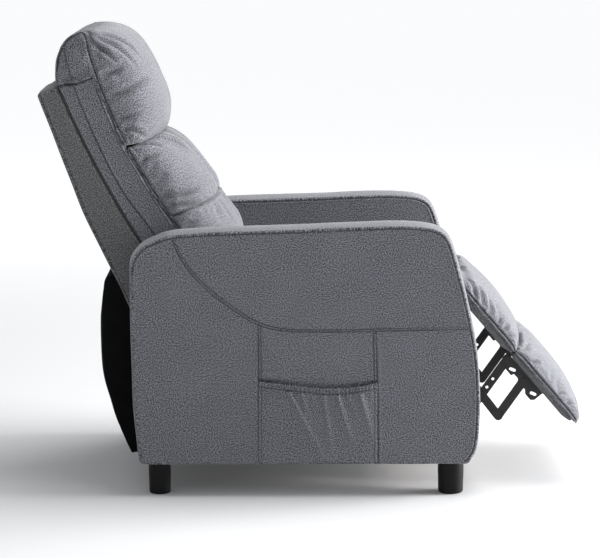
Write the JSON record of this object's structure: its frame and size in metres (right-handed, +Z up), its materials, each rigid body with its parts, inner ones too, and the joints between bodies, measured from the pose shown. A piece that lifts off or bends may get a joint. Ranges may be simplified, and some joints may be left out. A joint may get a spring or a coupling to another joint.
{
  "type": "recliner armchair",
  "caption": "Upholstered push-back recliner armchair: the back tilts and slides the seat, and a padded footrest swings out on a scissor linkage.",
  "frame": {"origin": "on the floor, under the centre of the chair's overall box as stored, with the footrest part-way out", "axes": "+Z up; the chair faces -Y; +X is to the sitter's left"},
  "size_m": [0.689, 1.2126, 1.0362],
  "materials": {
    "fabric": "matte",
    "dark_fabric": "matte",
    "black_cloth": "matte",
    "timber": "matte",
    "black_steel": "satin",
    "spring_steel": "satin",
    "foot_plastic": "satin",
    "webbing": "matte"
  },
  "bodies": {
    "base": {"arm_cover_left": "fabric", "arm_cover_right": "fabric", "arm_frame_left": "timber", "arm_frame_right": "timber", "side_pocket": "fabric", "front_rail": "timber", "rear_rail": "timber", "front_foot_left": "foot_plastic", "front_foot_right": "foot_plastic", "rear_foot_left": "foot_plastic", "rear_foot_right": "foot_plastic", "bottom_dust_cover": "black_cloth", "rear_dust_cover": "black_cloth", "glide_rail_left": "black_steel", "glide_rail_right": "black_steel", "back_hinge_plate_left": "black_steel", "back_hinge_plate_right": "black_steel"},
    "back": {"back_frame": "timber", "back_strap_1": "webbing", "back_strap_2": "webbing", "back_strap_3": "webbing", "back_cover": "dark_fabric", "back_cushion": "fabric", "headrest_cushion": "fabric", "lumbar_cushion": "fabric", "back_bracket_left": "black_steel", "back_bracket_right": "black_steel"},
    "seat": {"seat_frame": "timber", "seat_side_plate_left": "black_steel", "seat_side_plate_right": "black_steel", "seat_runner_left": "black_steel", "seat_runner_right": "black_steel", "footrest_spring_left": "spring_steel", "footrest_spring_right": "spring_steel", "seat_spring_1": "spring_steel", "seat_spring_2": "spring_steel", "seat_spring_3": "spring_steel", "seat_spring_4": "spring_steel", "seat_cushion": "fabric"},
    "recline_links": {"recline_link_left": "black_steel", "recline_link_right": "black_steel"},
    "drive_links": {"drive_link_left": "black_steel", "drive_link_right": "black_steel", "torque_tube": "black_steel"},
    "guide_links": {"guide_link_left": "black_steel", "guide_link_right": "black_steel"},
    "long_links": {"long_link_left": "black_steel", "long_link_right": "black_steel"},
    "cross_links": {"cross_link_left": "black_steel", "cross_link_right": "black_steel"},
    "outer_links": {"outer_link_left": "black_steel", "outer_link_right": "black_steel"},
    "footrest": {"upper_leg_board": "timber", "lower_leg_board": "timber", "upper_leg_pad": "fabric", "lower_leg_pad": "fabric", "footrest_bracket_left": "black_steel", "footrest_bracket_right": "black_steel"}
  },
  "joints": [
    {"name": "back_recline", "type": "hinge", "parent": "base", "child": "back", "pos_m": [0, 0.24431, 0.4], "axis": [-1, 0, 0], "range_deg": [-9, 22], "deforming": ["rear_dust_cover"]},
    {"name": "seat_slide", "type": "slide", "parent": "base", "child": "seat", "axis": [0, -1, 0], "range_m": [-0.021, 0.05]},
    {"name": "recline_link_pivot", "type": "hinge", "parent": "back", "child": "recline_links", "pos_m": [0, 0.25903, 0.27084], "axis": [-1, 0, 0], "range_deg": [-22.5, 9.5]},
    {"name": "footrest_extend", "type": "hinge", "parent": "seat", "child": "drive_links", "pos_m": [0, -0.23669, 0.3073], "axis": [-1, 0, 0], "range_deg": [-40.5, 50]},
    {"name": "guide_link_pivot", "type": "hinge", "parent": "seat", "child": "guide_links", "pos_m": [0, -0.17839, 0.33], "axis": [-1, 0, 0], "range_deg": [-12.8, 10.4]},
    {"name": "long_link_pivot", "type": "hinge", "parent": "drive_links", "child": "long_links", "pos_m": [0, -0.35127, 0.15685], "axis": [-1, 0, 0], "range_deg": [-67.2, 54.5]},
    {"name": "cross_link_pivot", "type": "hinge", "parent": "long_links", "child": "cross_links", "pos_m": [0, -0.38569, 0.206], "axis": [-1, 0, 0], "range_deg": [-52, 64.1]},
    {"name": "outer_link_pivot", "type": "hinge", "parent": "cross_links", "child": "outer_links", "pos_m": [0, -0.42386, 0.15714], "axis": [-1, 0, 0], "range_deg": [-64.1, 52]},
    {"name": "footrest_pivot", "type": "hinge", "parent": "long_links", "child": "footrest", "pos_m": [0, -0.44305, 0.28791], "axis": [-1, 0, 0], "range_deg": [-52, 64.1]}
  ],
  "couplings": [
    {"joint": "seat_slide", "follows": "back_recline", "m_per_rad": 0.1286},
    {"joint": "recline_link_pivot", "follows": "back_recline", "ratio": -1},
    {"joint": "guide_link_pivot", "follows": "footrest_extend", "ratio": -0.2451},
    {"joint": "long_link_pivot", "follows": "footrest_extend", "ratio": -1.3333},
    {"joint": "cross_link_pivot", "follows": "footrest_extend", "ratio": 1.2723},
    {"joint": "outer_link_pivot", "follows": "footrest_extend", "ratio": -1.2723},
    {"joint": "footrest_pivot", "follows": "footrest_extend", "ratio": 1.2723}
  ]
}
